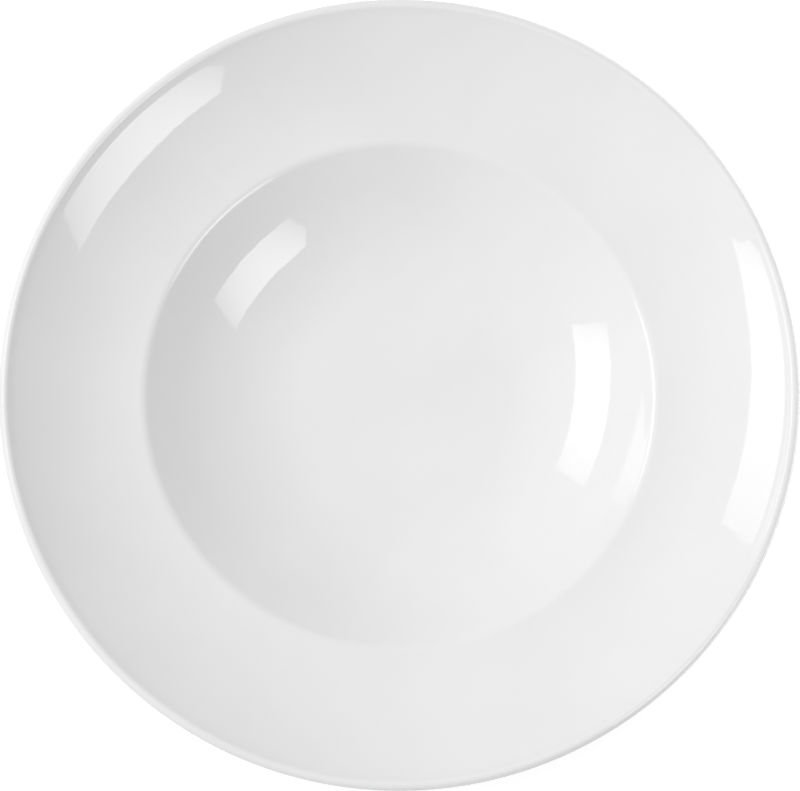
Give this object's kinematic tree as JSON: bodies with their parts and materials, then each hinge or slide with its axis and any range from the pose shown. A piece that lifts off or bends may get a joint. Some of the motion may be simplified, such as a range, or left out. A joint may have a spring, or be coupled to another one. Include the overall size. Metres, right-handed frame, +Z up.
{
  "type": "pasta plate",
  "caption": "Round deep plate in white glazed porcelain: a deep round well, a wide dished rim with a curled edge, and a bare foot ring to stand on.",
  "frame": {"origin": "centre of the foot ring's standing face", "axes": "+Z up along the plate's axis; the plate is round, so X and Y are free"},
  "size_m": [0.3, 0.3, 0.0493],
  "materials": {
    "porcelain": "matte",
    "glaze": "gloss"
  },
  "bodies": {
    "root": {"porcelain_body": "porcelain", "glaze_coat": "glaze", "base_glaze": "glaze"}
  },
  "joints": []
}
